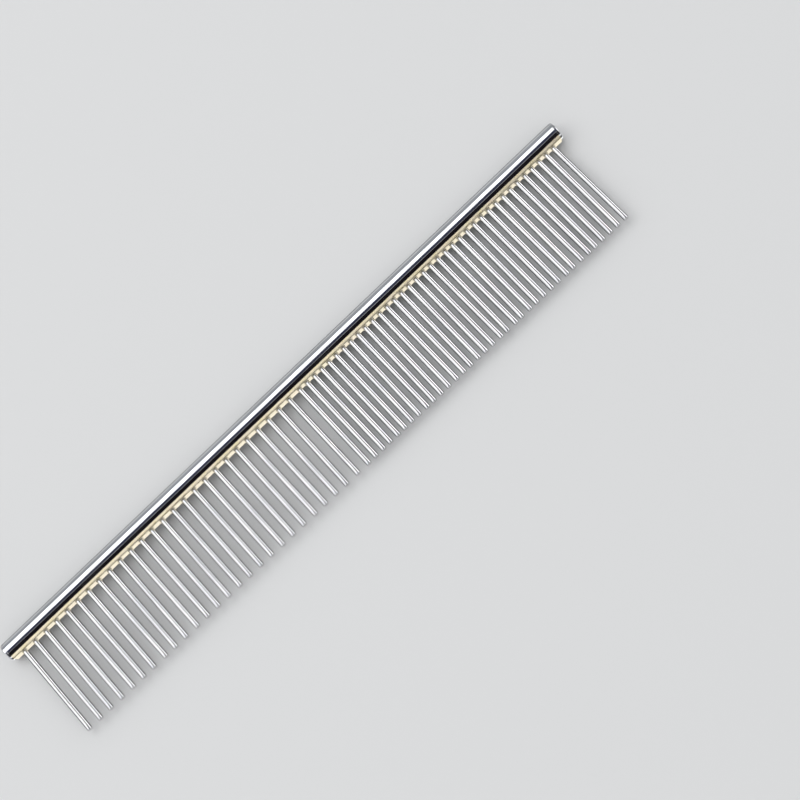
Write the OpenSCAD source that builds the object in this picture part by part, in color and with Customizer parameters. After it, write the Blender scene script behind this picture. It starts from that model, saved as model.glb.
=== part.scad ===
// Steel grooming comb with two tooth spacings on one spine.
// A round spine tube is slotted along its underside. A brass strip with a T section sits in
// the slot, one row of headed wire pins goes through the strip, and a plug closes each end.
// The comb lies flat: +X runs along the spine from the coarse end to the fine end, the pins
// point along -Y, and +Z points up out of the comb's flat side. The origin is the centre of
// the coarse end face, on the tube's axis.

/* [Spine tube] */
// Outside diameter of the tube
tube_d = 5; // [4.8:0.1:6.5]
// Wall thickness of the tube
tube_wall = 0.4; // [0.3:0.05:0.5]
// Width of the slot along the tube's underside
slot_w = 3.5; // [3:0.1:3.6]

/* [Pin strip] */
// How far the strip stands proud of the slot's edges
strip_proud = 0.85; // [0.4:0.05:1.2]
// Gap between the strip and each side of the slot
strip_gap = 0.05; // [0.02:0.01:0.08]
// Thickness of the flange that holds the strip inside the tube
flange_t = 0.5; // [0.4:0.05:0.6]
// Radius on the strip's two outer edges
strip_round = 0.15; // [0.05:0.05:0.3]
// How much wider than its pin the mouth of each hole is, on the radius
mouth_w = 0.22; // [0.1:0.02:0.3]

/* [Pins] */
// Wire diameter, the same in both halves
pin_d = 1.4; // [1:0.05:1.5]
// Length that stands out of the strip
pin_reach = 26.3; // [15:0.1:40]
// Radius round the blunt tip
tip_round = 0.35; // [0.1:0.05:0.45]
// Diameter of the head behind the strip
head_d = 2.1; // [1.8:0.05:2.2]
// Thickness of the head
head_t = 0.4; // [0.3:0.05:0.5]

/* [Spacing] */
// Number of pins in the coarse half
coarse_count = 27; // [10:1:40]
// Distance between neighbouring coarse pins
coarse_pitch = 3.65; // [3:0.05:5]
// Number of pins in the fine half
fine_count = 35; // [10:5:60]
// Distance between neighbouring fine pins, and across the change from coarse to fine
fine_pitch = 2.5; // [2.3:0.05:2.9]
// Distance from each end face of the spine to the nearest pin
end_margin = 3.8; // [3.8:0.1:8]

/* [End plugs] */
// Thickness of the plug's head, which closes the tube
plug_head_t = 0.8; // [0.6:0.05:0.8]
// Length of the plug's spigot, which goes inside the tube
spigot_l = 1.6; // [1:0.1:1.6]
// Radius round the edge of the plug's head
plug_round = 0.4; // [0.1:0.05:0.5]

/* [Hidden] */
$fn = 64;
// Small clearances: between fixed parts, and beyond a cut so that it passes right through
fit_gap = 0.02;
cut_over = 1;

tube_r = tube_d / 2;
bore_r = tube_r - tube_wall;
pin_r = pin_d / 2;

// Heights along Y, from the tube's axis down to the pin tips
slot_edge_y = -sqrt(pow(tube_r, 2) - pow(slot_w / 2, 2));
slot_inner_y = -sqrt(pow(bore_r, 2) - pow(slot_w / 2, 2));
strip_face_y = slot_edge_y - strip_proud;
flange_low_y = slot_inner_y + 0.2;
flange_top_y = flange_low_y + flange_t;
tip_y = strip_face_y - pin_reach;
head_top_y = flange_top_y + fit_gap + head_t;

// Strip widths: the web fills the slot, and the flange fills the bore behind it
web_w = slot_w - 2 * strip_gap;
flange_w = 2 * (sqrt(pow(bore_r, 2) - pow(flange_low_y, 2)) - fit_gap);

// The strip is notched at each end to pass under the plug's spigot
notch_l = plug_head_t + spigot_l + 0.1;
notch_y = slot_inner_y - 0.05;

pin_l = head_top_y - tip_y;
last_coarse_x = end_margin + (coarse_count - 1) * coarse_pitch;
comb_l = last_coarse_x + fine_count * fine_pitch + end_margin;

// Fine pins are kept five to a node
fine_group = 5;
fine_groups = ceil(fine_count / fine_group);

function coarse_x(i) = end_margin + i * coarse_pitch;
function fine_x(i) = last_coarse_x + (i + 1) * fine_pitch;
function two_digits(n) = str(n < 10 ? "0" : "", n);
function coarse_name(i) = str("coarse_pin_", two_digits(i + 1));
function fine_first(g) = g * fine_group;
function fine_last(g) = min(fine_count, (g + 1) * fine_group) - 1;
function fine_name(g) =
    str("fine_pins_", two_digits(fine_first(g) + 1), "_", two_digits(fine_last(g) + 1));

pin_stations = concat(
    [for (i = [0 : coarse_count - 1]) coarse_x(i)],
    [for (i = [0 : fine_count - 1]) fine_x(i)]
);

// Runs a section, drawn with X for the comb's Y and Y for its Z, along the comb
module along_comb(from_x, to_x) {
    translate([from_x, 0, 0])
        rotate([90, 0, 90])
            linear_extrude(to_x - from_x)
                children();
}

// A round tube's section with a parallel slot cut in its underside
module tube_section() {
    difference() {
        circle(r = tube_r);
        circle(r = bore_r);
        translate([-tube_d, -slot_w / 2])
            square([tube_d, slot_w]);
    }
}

// The strip's T section: a web through the slot and a flange inside the tube
module strip_section() {
    web_h = flange_low_y - strip_face_y + flange_t / 2;
    translate([strip_face_y + strip_round, -web_w / 2])
        square([web_h - strip_round, web_w]);
    translate([strip_face_y, -web_w / 2 + strip_round])
        square([web_h, web_w - 2 * strip_round]);
    for (side = [-1, 1])
        translate([strip_face_y + strip_round, side * (web_w / 2 - strip_round)])
            circle(r = strip_round);
    translate([flange_low_y, -flange_w / 2])
        square([flange_t, flange_w]);
}

// One pin hole with a dished mouth in the strip's outer face
module pin_hole(x) {
    hole_r = pin_r + fit_gap;
    translate([x, flange_top_y + cut_over, 0])
        rotate([90, 0, 0])
            cylinder(r = hole_r, h = flange_top_y - strip_face_y + 2 * cut_over);
    translate([x, strip_face_y + mouth_w, 0])
        rotate([90, 0, 0])
            cylinder(r1 = hole_r, r2 = hole_r + 2 * mouth_w, h = 2 * mouth_w);
}

// Half a headed pin's outline, from the head's top at 0 to the blunt tip
module pin_profile() {
    square([head_d / 2, head_t]);
    square([pin_r, pin_l - tip_round]);
    square([pin_r - tip_round, pin_l]);
    translate([pin_r - tip_round, pin_l - tip_round])
        circle(r = tip_round);
}

module pin(x) {
    translate([x, head_top_y, 0])
        rotate([90, 0, 0])
            rotate_extrude()
                pin_profile();
}

// Half a plug's outline, from the flat end face at 0 to the end of the spigot
module plug_profile() {
    translate([0, plug_round])
        square([tube_r, plug_head_t - plug_round]);
    square([tube_r - plug_round, plug_head_t]);
    translate([tube_r - plug_round, plug_round])
        circle(r = plug_round);
    square([bore_r - fit_gap, plug_head_t + spigot_l]);
}

// A plug at the origin, with its end face looking along -X
module plug() {
    difference() {
        rotate([0, 90, 0])
            rotate_extrude()
                plug_profile();
        translate([plug_head_t, notch_y + fit_gap - tube_d, -tube_d / 2])
            cube([spigot_l + cut_over, tube_d, tube_d]);
    }
}

module spine_tube() {
    color("silver")
        along_comb(plug_head_t + fit_gap, comb_l - plug_head_t - fit_gap)
            tube_section();
}

module pin_strip() {
    color("burlywood")
        difference() {
            along_comb(plug_head_t + fit_gap, comb_l - plug_head_t - fit_gap)
                strip_section();
            for (x = pin_stations)
                pin_hole(x);
            for (from_x = [notch_l - tube_d, comb_l - notch_l])
                translate([from_x, notch_y, -tube_d / 2])
                    cube([tube_d, tube_d, tube_d]);
        }
}

module coarse_end_plug() {
    color("gainsboro")
        plug();
}

module fine_end_plug() {
    color("gainsboro")
        translate([comb_l, 0, 0])
            mirror([1, 0, 0])
                plug();
}

module coarse_pin(i) {
    color("whitesmoke")
        pin(coarse_x(i));
}

module fine_pins(g) {
    color("whitesmoke")
        for (i = [fine_first(g) : fine_last(g)])
            pin(fine_x(i));
}

spine_tube();
pin_strip();
coarse_end_plug();
fine_end_plug();
for (i = [0 : coarse_count - 1])
    coarse_pin(i);
for (g = [0 : fine_groups - 1])
    fine_pins(g);
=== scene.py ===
"""Looks of a steel grooming comb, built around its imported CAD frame.

The comb lies flat: +X runs along the spine from the coarse end to the fine end, the pins
point along -Y, and +Z points up out of the comb's flat side. Sizes are in metres.
"""

import math
import random

import bmesh
import bpy
import numpy as np
from mathutils import Matrix, Vector


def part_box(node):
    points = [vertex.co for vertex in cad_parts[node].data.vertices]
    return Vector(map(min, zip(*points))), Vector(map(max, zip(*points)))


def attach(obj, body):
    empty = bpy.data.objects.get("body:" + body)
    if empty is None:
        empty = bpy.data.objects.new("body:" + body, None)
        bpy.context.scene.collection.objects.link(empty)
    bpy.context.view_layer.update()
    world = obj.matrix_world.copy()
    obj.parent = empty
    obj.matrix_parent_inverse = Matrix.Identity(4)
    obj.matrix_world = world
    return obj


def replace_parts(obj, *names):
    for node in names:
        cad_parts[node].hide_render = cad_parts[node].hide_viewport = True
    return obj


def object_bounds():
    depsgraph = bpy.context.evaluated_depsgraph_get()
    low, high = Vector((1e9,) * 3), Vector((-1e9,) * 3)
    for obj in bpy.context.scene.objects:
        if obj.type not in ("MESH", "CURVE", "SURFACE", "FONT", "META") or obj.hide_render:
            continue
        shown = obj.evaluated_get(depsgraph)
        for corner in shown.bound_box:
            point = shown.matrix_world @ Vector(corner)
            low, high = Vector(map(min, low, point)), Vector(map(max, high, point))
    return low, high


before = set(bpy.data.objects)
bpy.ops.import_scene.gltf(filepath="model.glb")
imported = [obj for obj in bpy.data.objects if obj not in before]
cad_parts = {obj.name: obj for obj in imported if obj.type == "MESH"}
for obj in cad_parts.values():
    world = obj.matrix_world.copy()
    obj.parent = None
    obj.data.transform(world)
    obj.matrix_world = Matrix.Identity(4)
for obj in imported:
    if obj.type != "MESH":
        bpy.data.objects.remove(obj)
cad_low, cad_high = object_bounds()

MM = 0.001
TINY = 0.01 * MM
random.seed(27)


# ---------------------------------------------------------------- sizes, read from the frame

def points_of(node):
    """Every vertex of a CAD node, as rows of x, y, z."""
    return np.array([v.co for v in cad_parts[node].data.vertices])


tube = points_of("spine_tube")
TUBE_R = tube[:, 1].max()
BORE_R = np.hypot(tube[:, 1], tube[:, 2]).min()
TUBE_ENDS = tube[:, 0].min(), tube[:, 0].max()
SLOT_EDGE_Y = tube[:, 1].min()
SLOT_HALF = math.sqrt(TUBE_R**2 - SLOT_EDGE_Y**2)

strip = points_of("pin_strip")
STRIP_ENDS = strip[:, 0].min(), strip[:, 0].max()
FACE_Y = strip[:, 1].min()
WEB_HALF = np.abs(strip[strip[:, 1] < SLOT_EDGE_Y][:, 2]).max()
flange = strip[np.abs(strip[:, 2]) > WEB_HALF + TINY]
FLANGE_HALF = flange[:, 2].max()
FLANGE_LOW, FLANGE_TOP = flange[:, 1].min(), flange[:, 1].max()
NOTCHES = flange[:, 0].min(), flange[:, 0].max()
NOTCH_Y = strip[strip[:, 0] < NOTCHES[0] - TINY][:, 1].max()

first_pin = points_of("coarse_pin_01")
first_pin_x = (first_pin[:, 0].min() + first_pin[:, 0].max()) / 2
first_pin_radii = np.hypot(first_pin[:, 0] - first_pin_x, first_pin[:, 2])
HEAD_TOP, TIP_Y = first_pin[:, 1].max(), first_pin[:, 1].min()
HEAD_R = first_pin_radii.max()
HEAD_LOW = first_pin[first_pin_radii > HEAD_R - TINY][:, 1].min()
PIN_R = first_pin_radii[first_pin[:, 1] < FACE_Y].max()
TIP_ROUND = PIN_R - first_pin_radii[first_pin[:, 1] < TIP_Y + TINY].max()

plug = points_of("coarse_end_plug")
PLUG_R = plug[:, 1].max()
PLUG_HEAD = plug[np.hypot(plug[:, 1], plug[:, 2]) > BORE_R + TINY][:, 0].max()
PLUG_LENGTH = plug[:, 0].max()
PLUG_ROUND = plug[np.hypot(plug[:, 1], plug[:, 2]) > PLUG_R - TINY][:, 0].min()
SPIGOT_FLAT = plug[plug[:, 0] > PLUG_HEAD + TINY][:, 1].min()
COMB_LENGTH = (cad_high - cad_low).x

# The gap round a pin in its hole and round a spigot in the bore, the chamfer on cut ends, and
# the radius on the slot's lips and on the pins' heads
FIT_GAP = 0.02 * MM
CHAMFER = 0.05 * MM
LIP = 0.08 * MM


def stations(node, count):
    """The x of each pin axis in a node that holds count pins in an even row."""
    low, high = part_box(node)
    first, last = low.x + HEAD_R, high.x - HEAD_R
    return [first + (last - first) * i / max(count - 1, 1) for i in range(count)]


# Each pin's name, its x, and the CAD node it stands for, from the coarse end to the fine end
PINS = []
for node in sorted(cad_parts):
    if node.startswith("coarse_pin_"):
        PINS.append((node, stations(node, 1)[0], node))
    if node.startswith("fine_pins_"):
        first, last = (int(n) for n in node.split("_")[2:])
        for n, x in zip(range(first, last + 1), stations(node, last - first + 1)):
            PINS.append((f"fine_pin_{n:02d}", x, node))
PINS.sort(key=lambda pin: pin[1])


# ---------------------------------------------------------------- mesh building

class Shell:
    """Gathers faces by their corner points, and welds corners that share a place."""

    WELD = 0.0005 * MM
    SHARP = math.radians(40)

    def __init__(self):
        self.numbers, self.corners, self.faces = {}, [], []

    def number(self, point):
        key = tuple(round(c / self.WELD) for c in point)
        if key not in self.numbers:
            self.numbers[key] = len(self.corners)
            self.corners.append(tuple(point))
        return self.numbers[key]

    def face(self, *points):
        ring = []
        for number in map(self.number, points):
            if number not in ring:
                ring.append(number)
        if len(ring) > 2:
            self.faces.append(ring)

    def rows(self, rows, closed=False):
        """Quads between neighbouring rows of points; closed joins each row's ends."""
        for low, high in zip(rows, rows[1:]):
            count = len(low)
            for i in range(count if closed else count - 1):
                j = (i + 1) % count
                self.face(low[i], low[j], high[j], high[i])

    def build(self, name, material):
        mesh = bpy.data.meshes.new(name)
        mesh.from_pydata(self.corners, [], self.faces)
        outward(mesh)
        mesh.polygons.foreach_set("use_smooth", [True] * len(mesh.polygons))
        mesh.set_sharp_from_angle(angle=self.SHARP)
        mesh.materials.append(material)
        piece = bpy.data.objects.new(name, mesh)
        bpy.context.scene.collection.objects.link(piece)
        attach(piece, "root")
        return piece


def outward(mesh):
    """Turns every face of a closed mesh outwards."""
    work = bmesh.new()
    work.from_mesh(mesh)
    bmesh.ops.recalc_face_normals(work, faces=work.faces)
    work.to_mesh(mesh)
    work.free()
    mesh.update()


def arc(centre, radius, start, end, steps):
    """Points on an arc in a flat section, with angles in degrees."""
    angles = np.radians(np.linspace(start, end, steps + 1))
    return [(centre[0] + radius * math.cos(a), centre[1] + radius * math.sin(a)) for a in angles]


def circle(centre, radius, steps):
    """Points round a full circle, without repeating the first."""
    return arc(centre, radius, 0, 360, steps)[:-1]


def rounded(section, corner, radius, steps=4):
    """Replaces one corner of a closed section by an arc tangent to both its sides."""
    before, at, after = (Vector(section[(corner + k) % len(section)]) for k in (-1, 0, 1))
    one, two = (before - at).normalized(), (after - at).normalized()
    half = one.angle(two) / 2
    centre = at + (one + two).normalized() * radius / math.sin(half)
    start, end = (at + side * radius / math.tan(half) - centre for side in (one, two))
    turn = start.angle_signed(end)
    bent = []
    for i in range(steps + 1):
        spoke = start.copy()
        spoke.rotate(Matrix.Rotation(-turn * i / steps, 2))
        bent.append(tuple(centre + spoke))
    return section[:corner] + bent + section[corner + 1:]


# ---------------------------------------------------------------- node trees

class Nodes:
    """A node tree, with short calls for the few nodes used here."""

    # A Mix node's colour sockets, by number because its names repeat
    MIX_A, MIX_B, MIX_RESULT = 6, 7, 2
    # How far a noise's seed moves it along x, y and z
    SEED_STEP = 1.0, 1.7, 2.3

    def __init__(self, tree):
        self.tree = tree

    def add(self, kind, **settings):
        node = self.tree.nodes.new(kind)
        for key, value in settings.items():
            setattr(node, key, value)
        return node

    def join(self, source, target):
        """Feeds a socket from another socket, a number or a colour."""
        if hasattr(source, "is_output"):
            self.tree.links.new(source, target)
        else:
            target.default_value = source

    def split(self, vector):
        """A node whose outputs are a vector's X, Y and Z."""
        node = self.add("ShaderNodeSeparateXYZ")
        self.join(vector, node.inputs["Vector"])
        return node.outputs

    def noise(self, grain_mm, detail=3.0, seed=0.0):
        """Noise whose grain has its own size along x, y and z, in millimetres."""
        mapping = self.add("ShaderNodeMapping")
        mapping.inputs["Scale"].default_value = [1 / (g * MM) for g in grain_mm]
        mapping.inputs["Location"].default_value = [seed * step for step in self.SEED_STEP]
        self.join(self.add("ShaderNodeTexCoord").outputs["Object"], mapping.inputs["Vector"])
        node = self.add("ShaderNodeTexNoise")
        node.inputs["Scale"].default_value = 1.0
        node.inputs["Detail"].default_value = detail
        node.inputs["Roughness"].default_value = 0.5
        self.join(mapping.outputs["Vector"], node.inputs["Vector"])
        return node.outputs["Fac"]

    def spread(self, value, low, high, to_low, to_high, ramp="LINEAR"):
        """Maps low..high of a value to to_low..to_high, clamped."""
        node = self.add("ShaderNodeMapRange", interpolation_type=ramp)
        limits = {"From Min": low, "From Max": high, "To Min": to_low, "To Max": to_high}
        for socket, number in limits.items():
            node.inputs[socket].default_value = number
        self.join(value, node.inputs["Value"])
        return node.outputs["Result"]

    def maths(self, operation, a, b=0.0):
        node = self.add("ShaderNodeMath", operation=operation)
        self.join(a, node.inputs[0])
        self.join(b, node.inputs[1])
        return node.outputs["Value"]

    def mix(self, share, a, b):
        """Mixes two colours: a where share is 0, b where it is 1."""
        node = self.add("ShaderNodeMix", data_type="RGBA")
        self.join(share, node.inputs["Factor"])
        for value, socket in ((a, self.MIX_A), (b, self.MIX_B)):
            colour = value if hasattr(value, "is_output") else (*value, 1)
            self.join(colour, node.inputs[socket])
        return node.outputs[self.MIX_RESULT]

    def bump(self, height, depth_mm, strength=1.0, under=None):
        node = self.add("ShaderNodeBump")
        node.inputs["Distance"].default_value = depth_mm * MM
        node.inputs["Strength"].default_value = strength
        self.join(height, node.inputs["Height"])
        if under is not None:
            self.join(under, node.inputs["Normal"])
        return node.outputs["Normal"]


class Finish(Nodes):
    """A material's node tree, with its surface shader."""

    def __init__(self, name):
        self.material = bpy.data.materials.new(name)
        self.material.use_nodes = True
        super().__init__(self.material.node_tree)
        self.shader = self.tree.nodes["Principled BSDF"].inputs

    def metal(self, colour, roughness, normal, metallic=1.0):
        self.join(metallic, self.shader["Metallic"])
        self.join(colour, self.shader["Base Color"])
        self.join(roughness, self.shader["Roughness"])
        self.join(normal, self.shader["Normal"])
        return self.material


# ---------------------------------------------------------------- materials

def chrome():
    """Bright plating over polished tube: faint smears, hairline scratches and a slow waviness."""
    clean, smeared = (0.90, 0.91, 0.93), (0.80, 0.81, 0.82)
    polished, dulled, scratched = 0.045, 0.13, 0.12
    n = Finish("spine_chrome")
    smears = n.spread(n.noise((9, 3, 3), detail=4, seed=3), 0.42, 0.68, 0, 1)
    hairlines = n.spread(n.noise((14, 0.05, 0.05), detail=2, seed=11), 0.60, 0.74, 0, 1)
    roughness = n.maths(
        "ADD", n.spread(smears, 0, 1, polished, dulled), n.spread(hairlines, 0, 1, 0, scratched)
    )
    wave = n.bump(n.noise((16, 5, 5), detail=1, seed=5), depth_mm=0.015)
    normal = n.bump(hairlines, depth_mm=0.002, strength=0.6, under=wave)
    return n.metal(n.mix(smears, clean, smeared), roughness, normal)


def brass():
    """Pale drawn brass: mill lines along its length, uneven tarnish, no lacquer."""
    dark, pale, pink = (0.69, 0.61, 0.39), (0.83, 0.75, 0.56), (0.80, 0.67, 0.53)
    smooth, dull, lines_up, lines_down = 0.20, 0.32, 0.06, -0.04
    n = Finish("strip_brass")
    patches = n.noise((2.2, 0.8, 0.8), seed=2)
    blush = n.spread(n.noise((3.1, 1.1, 1.1), detail=2, seed=21), 0.45, 0.70, 0, 0.6)
    lines = n.noise((6, 0.06, 0.06), seed=9)
    tarnish = n.mix(n.spread(patches, 0.35, 0.65, 0, 1), dark, pale)
    roughness = n.maths(
        "ADD",
        n.spread(patches, 0.3, 0.7, smooth, dull),
        n.spread(lines, 0.3, 0.7, lines_down, lines_up),
    )
    wave = n.bump(n.noise((1.4, 0.9, 0.9), detail=2, seed=6), depth_mm=0.02)
    normal = n.bump(lines, depth_mm=0.004, strength=0.7, under=wave)
    return n.metal(n.mix(blush, tarnish, pink), roughness, normal, metallic=0.85)


def wire():
    """Polished stainless wire with faint lines drawn along it, each pin a little different."""
    bright, worn = (0.80, 0.80, 0.81), (0.70, 0.705, 0.72)
    smooth, dull, lines_up, lines_down = 0.08, 0.15, 0.06, -0.03
    n = Finish("pin_steel")
    lines = n.noise((0.16, 9, 0.16), seed=4)
    wear = n.spread(n.noise((3, 7, 3), seed=8), 0.38, 0.66, 0, 1)
    roughness = n.maths(
        "ADD",
        n.spread(wear, 0, 1, smooth, dull),
        n.spread(lines, 0.35, 0.65, lines_down, lines_up),
    )
    return n.metal(n.mix(wear, bright, worn), roughness, n.bump(lines, depth_mm=0.002, strength=0.6))


def pale_floor():
    """A plain matte floor, with painted reflections for polished metal: a reflected ray sees it
    painted dark under the pins, as a black flag would, and painted a little darker behind the spine,
    and sees painted glowing bands just under the strip and just before the tips."""
    # The floor's own tone, then two painted reflection tones that only reflected rays see: painted
    # dark under the pins, and painted darker behind the spine
    shade, painted_dark_reflection, behind = 0.72, 0.10, 0.52
    ease = 8 * MM
    # How softly the painted glowing bands start and end, how wide the one before the tips is, and
    # how bright each glows
    glow_band_ease = 1 * MM
    tip_glow_band_width = 25 * MM
    painted_strip_glow, painted_tip_glow = 1.35, 0.32
    least_forward = 0.05
    n = Finish("floor_pale")
    y = n.split(n.add("ShaderNodeTexCoord").outputs["Object"])["Y"]
    path = n.add("ShaderNodeLightPath").outputs
    mirror = path["Is Glossy Ray"]

    # Painted reflection: a reflected ray sees the floor's own tone ahead of the tips, a painted dark
    # tone under the pins and a painted darker tone behind the spine; other rays see the floor's own
    # tone
    painted_reflection_before_tips = n.spread(y, TIP_Y - ease, TIP_Y, shade - painted_dark_reflection, 0)
    painted_reflection_behind_spine = n.spread(y, TUBE_R, TUBE_R + ease, painted_dark_reflection, behind)
    painted_reflection_tone = n.maths("MULTIPLY", mirror, n.maths("ADD", painted_reflection_before_tips, painted_reflection_behind_spine))
    n.join(n.maths("ADD", n.spread(mirror, 0, 1, shade, 0), painted_reflection_tone), n.shader["Base Color"])
    n.join(0.0, n.shader["Specular IOR Level"])

    def painted_glow_band(low, high, glow):
        """A band across the floor that glows between two places along Y, as a painted reflection."""
        start = n.spread(y, low - glow_band_ease, low, 0, glow)
        return n.maths("MULTIPLY", start, n.spread(y, high, high + glow_band_ease, 1, 0))

    # Painted reflections: only a reflected ray that heads for -Y, before any matte bounce, sees
    # these glowing bands, and they light nothing else
    painted_glow_under_strip = painted_glow_band(FACE_Y - 2 * MM, SLOT_EDGE_Y, painted_strip_glow)
    painted_glow_at_tips = painted_glow_band(TIP_Y - tip_glow_band_width, TIP_Y - glow_band_ease / 2, painted_tip_glow)
    came_from = n.split(n.add("ShaderNodeNewGeometry").outputs["Incoming"])
    forwards = n.maths("GREATER_THAN", came_from["Y"], least_forward)
    direct = n.maths("LESS_THAN", path["Diffuse Depth"], 0.5)
    # Where the painted glow is seen
    shown = n.maths("MULTIPLY", n.maths("MULTIPLY", mirror, direct), forwards)
    painted_glow_bands = n.maths("MULTIPLY", n.maths("ADD", painted_glow_under_strip, painted_glow_at_tips), shown)
    n.join((1, 1, 1, 1), n.shader["Emission Color"])
    n.join(painted_glow_bands, n.shader["Emission Strength"])
    return n.material


CHROME, BRASS, WIRE = chrome(), brass(), wire()


# ---------------------------------------------------------------- spine tube

def tube_section(outer):
    """The slotted tube's closed outline in y and z: round the outside from lip to lip, back
    along the bore, and rounded at the four corners of the lips."""
    steps = 96
    outer_half = math.degrees(math.acos(SLOT_EDGE_Y / TUBE_R))
    inner_half = 180 - math.degrees(math.asin(SLOT_HALF / BORE_R))
    outline = arc((0, 0), outer, -outer_half, outer_half, steps)
    outline += arc((0, 0), BORE_R, inner_half, -inner_half, steps)
    # Last corner first, so that the numbers of those still to come stay true
    for corner in (2 * steps + 1, steps + 1, steps, 0):
        outline = rounded(outline, corner, LIP)
    return outline


def spine_tube():
    """A C-shaped tube whose ends are eased by a small chamfer."""
    start, end = TUBE_ENDS
    spans = 36
    between = list(np.linspace(start, end, spans + 1)[1:-1])
    shell = Shell()
    rings = []
    for x in [start, start + CHAMFER] + between + [end - CHAMFER, end]:
        outer = TUBE_R - CHAMFER if x in (start, end) else TUBE_R
        rings.append([(x, y, z) for y, z in tube_section(outer)])
    shell.rows(rings, closed=True)
    for ring in (rings[0], rings[-1]):
        shell.face(*ring)
    return shell.build("spine_tube", CHROME)


# ---------------------------------------------------------------- end plugs

def end_plug(name, face_x, inward):
    """A plug turned about X: a flat face with a rounded rim, a head, and a flatted spigot."""
    turn, rim_steps = 64, 8
    spigot_r = BORE_R - FIT_GAP
    face_ring_r = 0.4 * PLUG_R
    outline = [(0, 0), (0, face_ring_r)]
    outline += arc((PLUG_ROUND, PLUG_R - PLUG_ROUND), PLUG_ROUND, 180, 90, rim_steps)
    outline += [(PLUG_HEAD - CHAMFER, PLUG_R), (PLUG_HEAD, PLUG_R - CHAMFER), (PLUG_HEAD, spigot_r)]
    outline += [(PLUG_LENGTH - CHAMFER, spigot_r), (PLUG_LENGTH, spigot_r - CHAMFER)]
    outline += [(PLUG_LENGTH, 0)]
    shell = Shell()
    rings = []
    for depth, radius in outline:
        in_tube = depth > PLUG_HEAD - TINY and radius < BORE_R
        ring = []
        for y, z in circle((0, 0), radius, turn):
            ring.append((face_x + inward * depth, max(y, SPIGOT_FLAT) if in_tube else y, z))
        rings.append(ring)
    shell.rows(rings, closed=True)
    return shell.build(name, CHROME)


# ---------------------------------------------------------------- pin strip

# The radius on the strip's two outer edges, the radius of each hole's dished mouth, the circle
# where a mouth's face begins, and how finely the faces are divided
STRIP_EDGE = 0.15 * MM
MOUTH = 0.22 * MM
COLLAR_R = 1.05 * MM
HOLE_R = PIN_R + FIT_GAP
STRIP_FACE_HALF = WEB_HALF - STRIP_EDGE
ACROSS, ALONG = 12, 10


def across_strip(half):
    """Places across the strip, from one side to the other."""
    return np.linspace(-half, half, ACROSS + 1)


def flange_side(x, side):
    """One side of the flange's section, from the web to the back face's edge."""
    line = [(FLANGE_LOW, WEB_HALF), (FLANGE_LOW, FLANGE_HALF), (FLANGE_TOP, FLANGE_HALF)]
    return [(x, y, side * z) for y, z in line]


def strip_side(x, side, notched):
    """One side of the strip's section, from the outer face's edge to the back face's edge."""
    line = arc((FACE_Y + STRIP_EDGE, STRIP_FACE_HALF), STRIP_EDGE, 180, 90, steps=4)
    line += [(SLOT_EDGE_Y, WEB_HALF), (NOTCH_Y, WEB_HALF)]
    points = [(x, y, side * z) for y, z in line]
    return points if notched else points + flange_side(x, side)


def cell_rim(left, right, half):
    """The rim of one pin's cell on a face, corner to corner, all the way round."""
    xs, zs = np.linspace(left, right, ALONG + 1), across_strip(half)
    rim = [(x, -half) for x in xs[:-1]] + [(right, z) for z in zs[:-1]]
    return rim + [(x, half) for x in xs[:0:-1]] + [(left, z) for z in zs[:0:-1]]


def hole_rings(centre, rim, profile):
    """Circles round a hole that line up with the points of its cell's rim."""
    spokes = [math.atan2(z, x - centre) for x, z in rim]
    return [[(centre + r * math.cos(a), y, r * math.sin(a)) for a in spokes] for y, r in profile]


def pin_strip():
    """A T-section strip with a dished hole for each pin, notched to pass under the plugs."""
    start, end = STRIP_ENDS
    low, high = NOTCHES
    tongue_rows = 4
    shell = Shell()

    for tongue in (np.linspace(start, low, tongue_rows), np.linspace(high, end, tongue_rows)):
        for y, half in ((FACE_Y, STRIP_FACE_HALF), (NOTCH_Y, WEB_HALF)):
            shell.rows([[(x, y, z) for z in across_strip(half)] for x in tongue])
        for side in (-1, 1):
            shell.rows([strip_side(x, side, True) for x in tongue])

    pin_xs = [x for _, x, _ in PINS]
    cell_ends = [low] + [(a + b) / 2 for a, b in zip(pin_xs, pin_xs[1:])] + [high]
    dish = arc((FACE_Y + MOUTH, HOLE_R + MOUTH), MOUTH, 180, 270, steps=5)
    for centre, left, right in zip(pin_xs, cell_ends, cell_ends[1:]):
        for side in (-1, 1):
            cell = np.linspace(left, right, ALONG + 1)
            shell.rows([strip_side(x, side, False) for x in cell])
        rim = cell_rim(left, right, STRIP_FACE_HALF)
        front = [[(x, FACE_Y, z) for x, z in rim]]
        front += hole_rings(centre, rim, [(FACE_Y, COLLAR_R)] + dish)
        rim = cell_rim(left, right, FLANGE_HALF)
        back = [[(x, FLANGE_TOP, z) for x, z in rim]]
        back += hole_rings(centre, rim, [(FLANGE_TOP, COLLAR_R), (FLANGE_TOP, HOLE_R)])
        for rings in (front, back, [front[-1], back[-1]]):
            shell.rows(rings, closed=True)

    for x in STRIP_ENDS:
        outline = [(x, FACE_Y, z) for z in across_strip(STRIP_FACE_HALF)] + strip_side(x, 1, True)
        outline += [(x, NOTCH_Y, z) for z in across_strip(WEB_HALF)[::-1]]
        shell.face(*outline, *strip_side(x, -1, True)[::-1])
    for x in NOTCHES:
        outline = [(x, NOTCH_Y, z) for z in across_strip(WEB_HALF)] + flange_side(x, 1)
        outline += [(x, FLANGE_TOP, z) for z in across_strip(FLANGE_HALF)[::-1]]
        shell.face(*outline, *flange_side(x, -1)[::-1])
    return shell.build("pin_strip", BRASS)


# ---------------------------------------------------------------- pins

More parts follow.
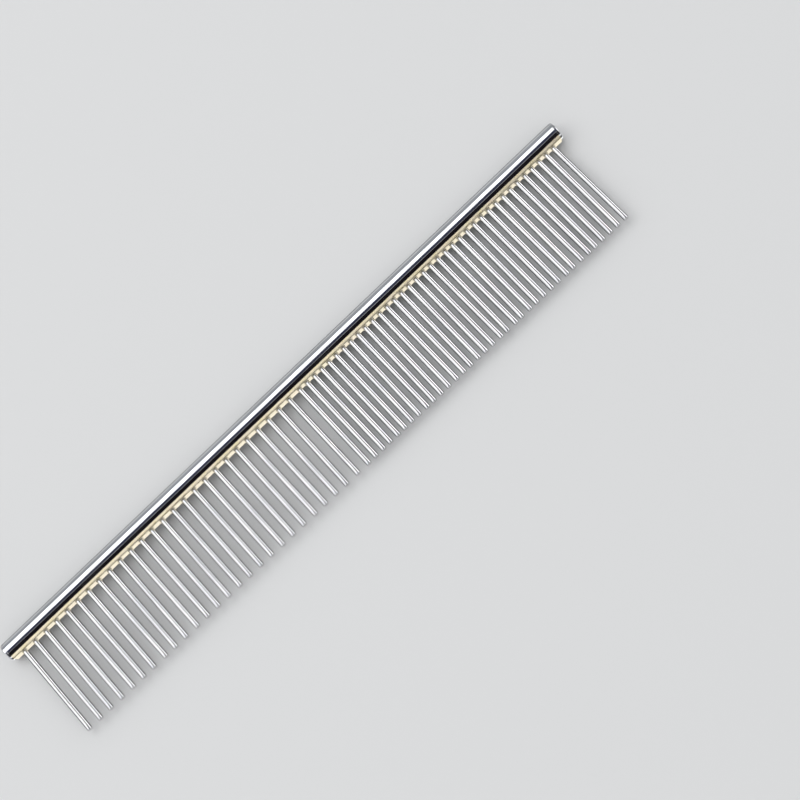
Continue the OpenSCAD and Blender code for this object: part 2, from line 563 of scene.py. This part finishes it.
def pin(name, x, node):
    """A headed wire pin with a blunt, eased tip. Each leans a little, as pressed pins do."""
    turn, shaft_spans, tip_steps = 32, 12, 7
    # In millimetres: how far tips stray along the comb and out of its plane, and fall short
    stray_x, stray_z, most_short = 0.11, 0.07, 0.10
    bend = 1.2
    lean_x = random.gauss(0, stray_x) * MM
    lean_z = random.gauss(0, stray_z) * MM
    tip = TIP_Y + random.uniform(0, most_short) * MM
    shaft = np.linspace(FACE_Y, tip + TIP_ROUND, shaft_spans + 1)[:-1]
    outline = [(HEAD_TOP, 0)]
    outline += arc((HEAD_TOP - LIP, HEAD_R - LIP), LIP, 0, 90, steps=3)
    outline += [(HEAD_LOW, HEAD_R), (HEAD_LOW, PIN_R)]
    outline += [(y, PIN_R) for y in shaft]
    outline += arc((tip + TIP_ROUND, PIN_R - TIP_ROUND), TIP_ROUND, 90, 180, tip_steps)
    outline += [(tip, 0)]
    shell = Shell()
    rings = []
    for y, radius in outline:
        shift = max(0.0, (FACE_Y - y) / (FACE_Y - TIP_Y))**bend
        centre = (x + lean_x * shift, lean_z * shift)
        rings.append([(px, y, pz) for px, pz in circle(centre, radius, turn)])
    shell.rows(rings, closed=True)
    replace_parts(shell.build(name, WIRE), node)


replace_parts(spine_tube(), "spine_tube")
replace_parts(end_plug("coarse_end_plug", 0.0, 1), "coarse_end_plug")
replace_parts(end_plug("fine_end_plug", COMB_LENGTH, -1), "fine_end_plug")
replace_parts(pin_strip(), "pin_strip")
for pin_name, pin_x, pin_node in PINS:
    pin(pin_name, pin_x, pin_node)


# ---------------------------------------------------------------- floor, light and camera

def put(name, data):
    """Adds a new object to the scene."""
    thing = bpy.data.objects.new(name, data)
    bpy.context.scene.collection.objects.link(thing)
    return thing


def looking(right, top, back, place):
    """The matrix that puts a lamp or a camera at a place, looking the opposite way to back."""
    return Matrix.Translation(place) @ Matrix((right, top, back)).transposed().to_4x4()


def floor():
    """A plain pale floor that touches the spine's lowest line."""
    half = 12.0
    z = cad_low.z
    mesh = bpy.data.meshes.new("floor")
    corners = [(-half, -half, z), (half, -half, z), (half, half, z), (-half, half, z)]
    mesh.from_pydata(corners, [], [(0, 1, 2, 3)])
    mesh.materials.append(pale_floor())
    put("floor", mesh)


def softbox(name, tilt_y, tilt_x, length, width, radiance, distance=0.80, matte=False):
    """An area light aimed at the comb: tilt_y from the zenith towards +Y, tilt_x towards +X, in
    degrees. Only a matte one lights matte surfaces; the rest are there for the metal to mirror."""
    ty, tx = math.radians(tilt_y), math.radians(tilt_x)
    away = Vector((math.sin(tx), math.sin(ty) * math.cos(tx), math.cos(ty) * math.cos(tx)))
    light = bpy.data.lights.new(name, "AREA")
    light.shape = "RECTANGLE"
    light.size, light.size_y = length, width
    light.energy = radiance * math.pi * length * width
    along = Vector((1, 0, 0)) if abs(tilt_x) < 45 else Vector((0, 1, 0))
    up = away.cross(along).normalized()
    middle = (cad_low + cad_high) / 2
    lamp = put(name, light)
    lamp.matrix_world = looking(up.cross(away).normalized(), up, away, middle + away * distance)
    lamp.visible_camera = False
    lamp.visible_diffuse = matte


def lamps():
    """A broad key above the spine's back, a softbox to each side, and two narrow strips on the
    pins' side, one of them close to the floor."""
    softbox("key", 28.5, -20, length=3.12, width=1.89, radiance=1.4, distance=2.40, matte=True)
    softbox("left", 14, -70, length=0.50, width=0.50, radiance=0.65)
    softbox("right", 14, 70, length=0.50, width=0.32, radiance=2.5)
    softbox("front_line", -22, 0, length=0.90, width=0.07, radiance=0.28)
    softbox("front_low", -83.5, 0, length=0.90, width=0.17, radiance=1.2, distance=0.90)


def studio():
    """An even pale room for matte surfaces. Polished metal sees it dark in front and paler
    behind, with a grey wall to each side of the dark front."""
    room, side_wall = (0.71, 0.72, 0.73), (0.55, 0.56, 0.58)
    wall_x, wall_y = (0.29, 0.48), (0.05, 0.20)
    # What the metal sees, by how far towards +Y it looks
    tones = [
        (-1.00, (0.006, 0.005, 0.006)),
        (-0.45, (0.009, 0.007, 0.010)),
        (-0.10, (0.045, 0.050, 0.085)),
        (0.05, (0.050, 0.056, 0.092)),
        (0.28, (0.06, 0.06, 0.07)),
        (0.78, (0.30, 0.315, 0.33)),
        (1.00, (0.33, 0.345, 0.36)),
    ]
    world = bpy.data.worlds.new("studio")
    world.use_nodes = True
    bpy.context.scene.world = world
    n = Nodes(world.node_tree)
    gaze = n.split(n.add("ShaderNodeTexCoord").outputs["Generated"])
    front_to_back = n.add("ShaderNodeValToRGB")
    n.join(n.spread(gaze["Y"], -1, 1, 0, 1), front_to_back.inputs["Fac"])
    ramp = front_to_back.color_ramp.elements
    while len(ramp) < len(tones):
        ramp.new(0.5)
    for element, (y, tone) in zip(ramp, tones):
        element.position = (y + 1) / 2
        element.color = (*tone, 1)
    aside = n.spread(n.maths("ABSOLUTE", gaze["X"]), *wall_x, 0, 1, "SMOOTHSTEP")
    in_front = n.spread(gaze["Y"], *wall_y, 1, 0, "SMOOTHSTEP")
    wall = n.maths("MULTIPLY", aside, in_front)
    metal_sees = n.mix(wall, front_to_back.outputs["Color"], side_wall)
    is_mirror = n.add("ShaderNodeLightPath").outputs["Is Glossy Ray"]
    background = world.node_tree.nodes["Background"].inputs
    n.join(n.mix(is_mirror, room, metal_sees), background["Color"])
    n.join(1.0, background["Strength"])


def camera():
    """Looks down on the flat comb, a little from the pins' side, with the spine rising to the
    right."""
    tilt, roll = math.radians(13.6), math.radians(43.6)
    distance = 430 * MM
    target = Vector((115.0 * MM, -22.5 * MM, 0))
    back = Vector((0, -math.sin(tilt), math.cos(tilt)))
    along, up = Vector((1, 0, 0)), Vector((0, math.cos(tilt), math.sin(tilt)))
    right = along * math.cos(roll) - up * math.sin(roll)
    top = along * math.sin(roll) + up * math.cos(roll)
    lens = bpy.data.cameras.new("camera")
    lens.sensor_width, lens.lens = 36, 78.2
    lens.clip_start, lens.clip_end = 0.01, 100
    eye = put("camera", lens)
    eye.matrix_world = looking(right, top, back, target + back * distance)
    bpy.context.scene.camera = eye


floor()
lamps()
studio()
camera()
bpy.context.scene.view_settings.view_transform = "Standard"
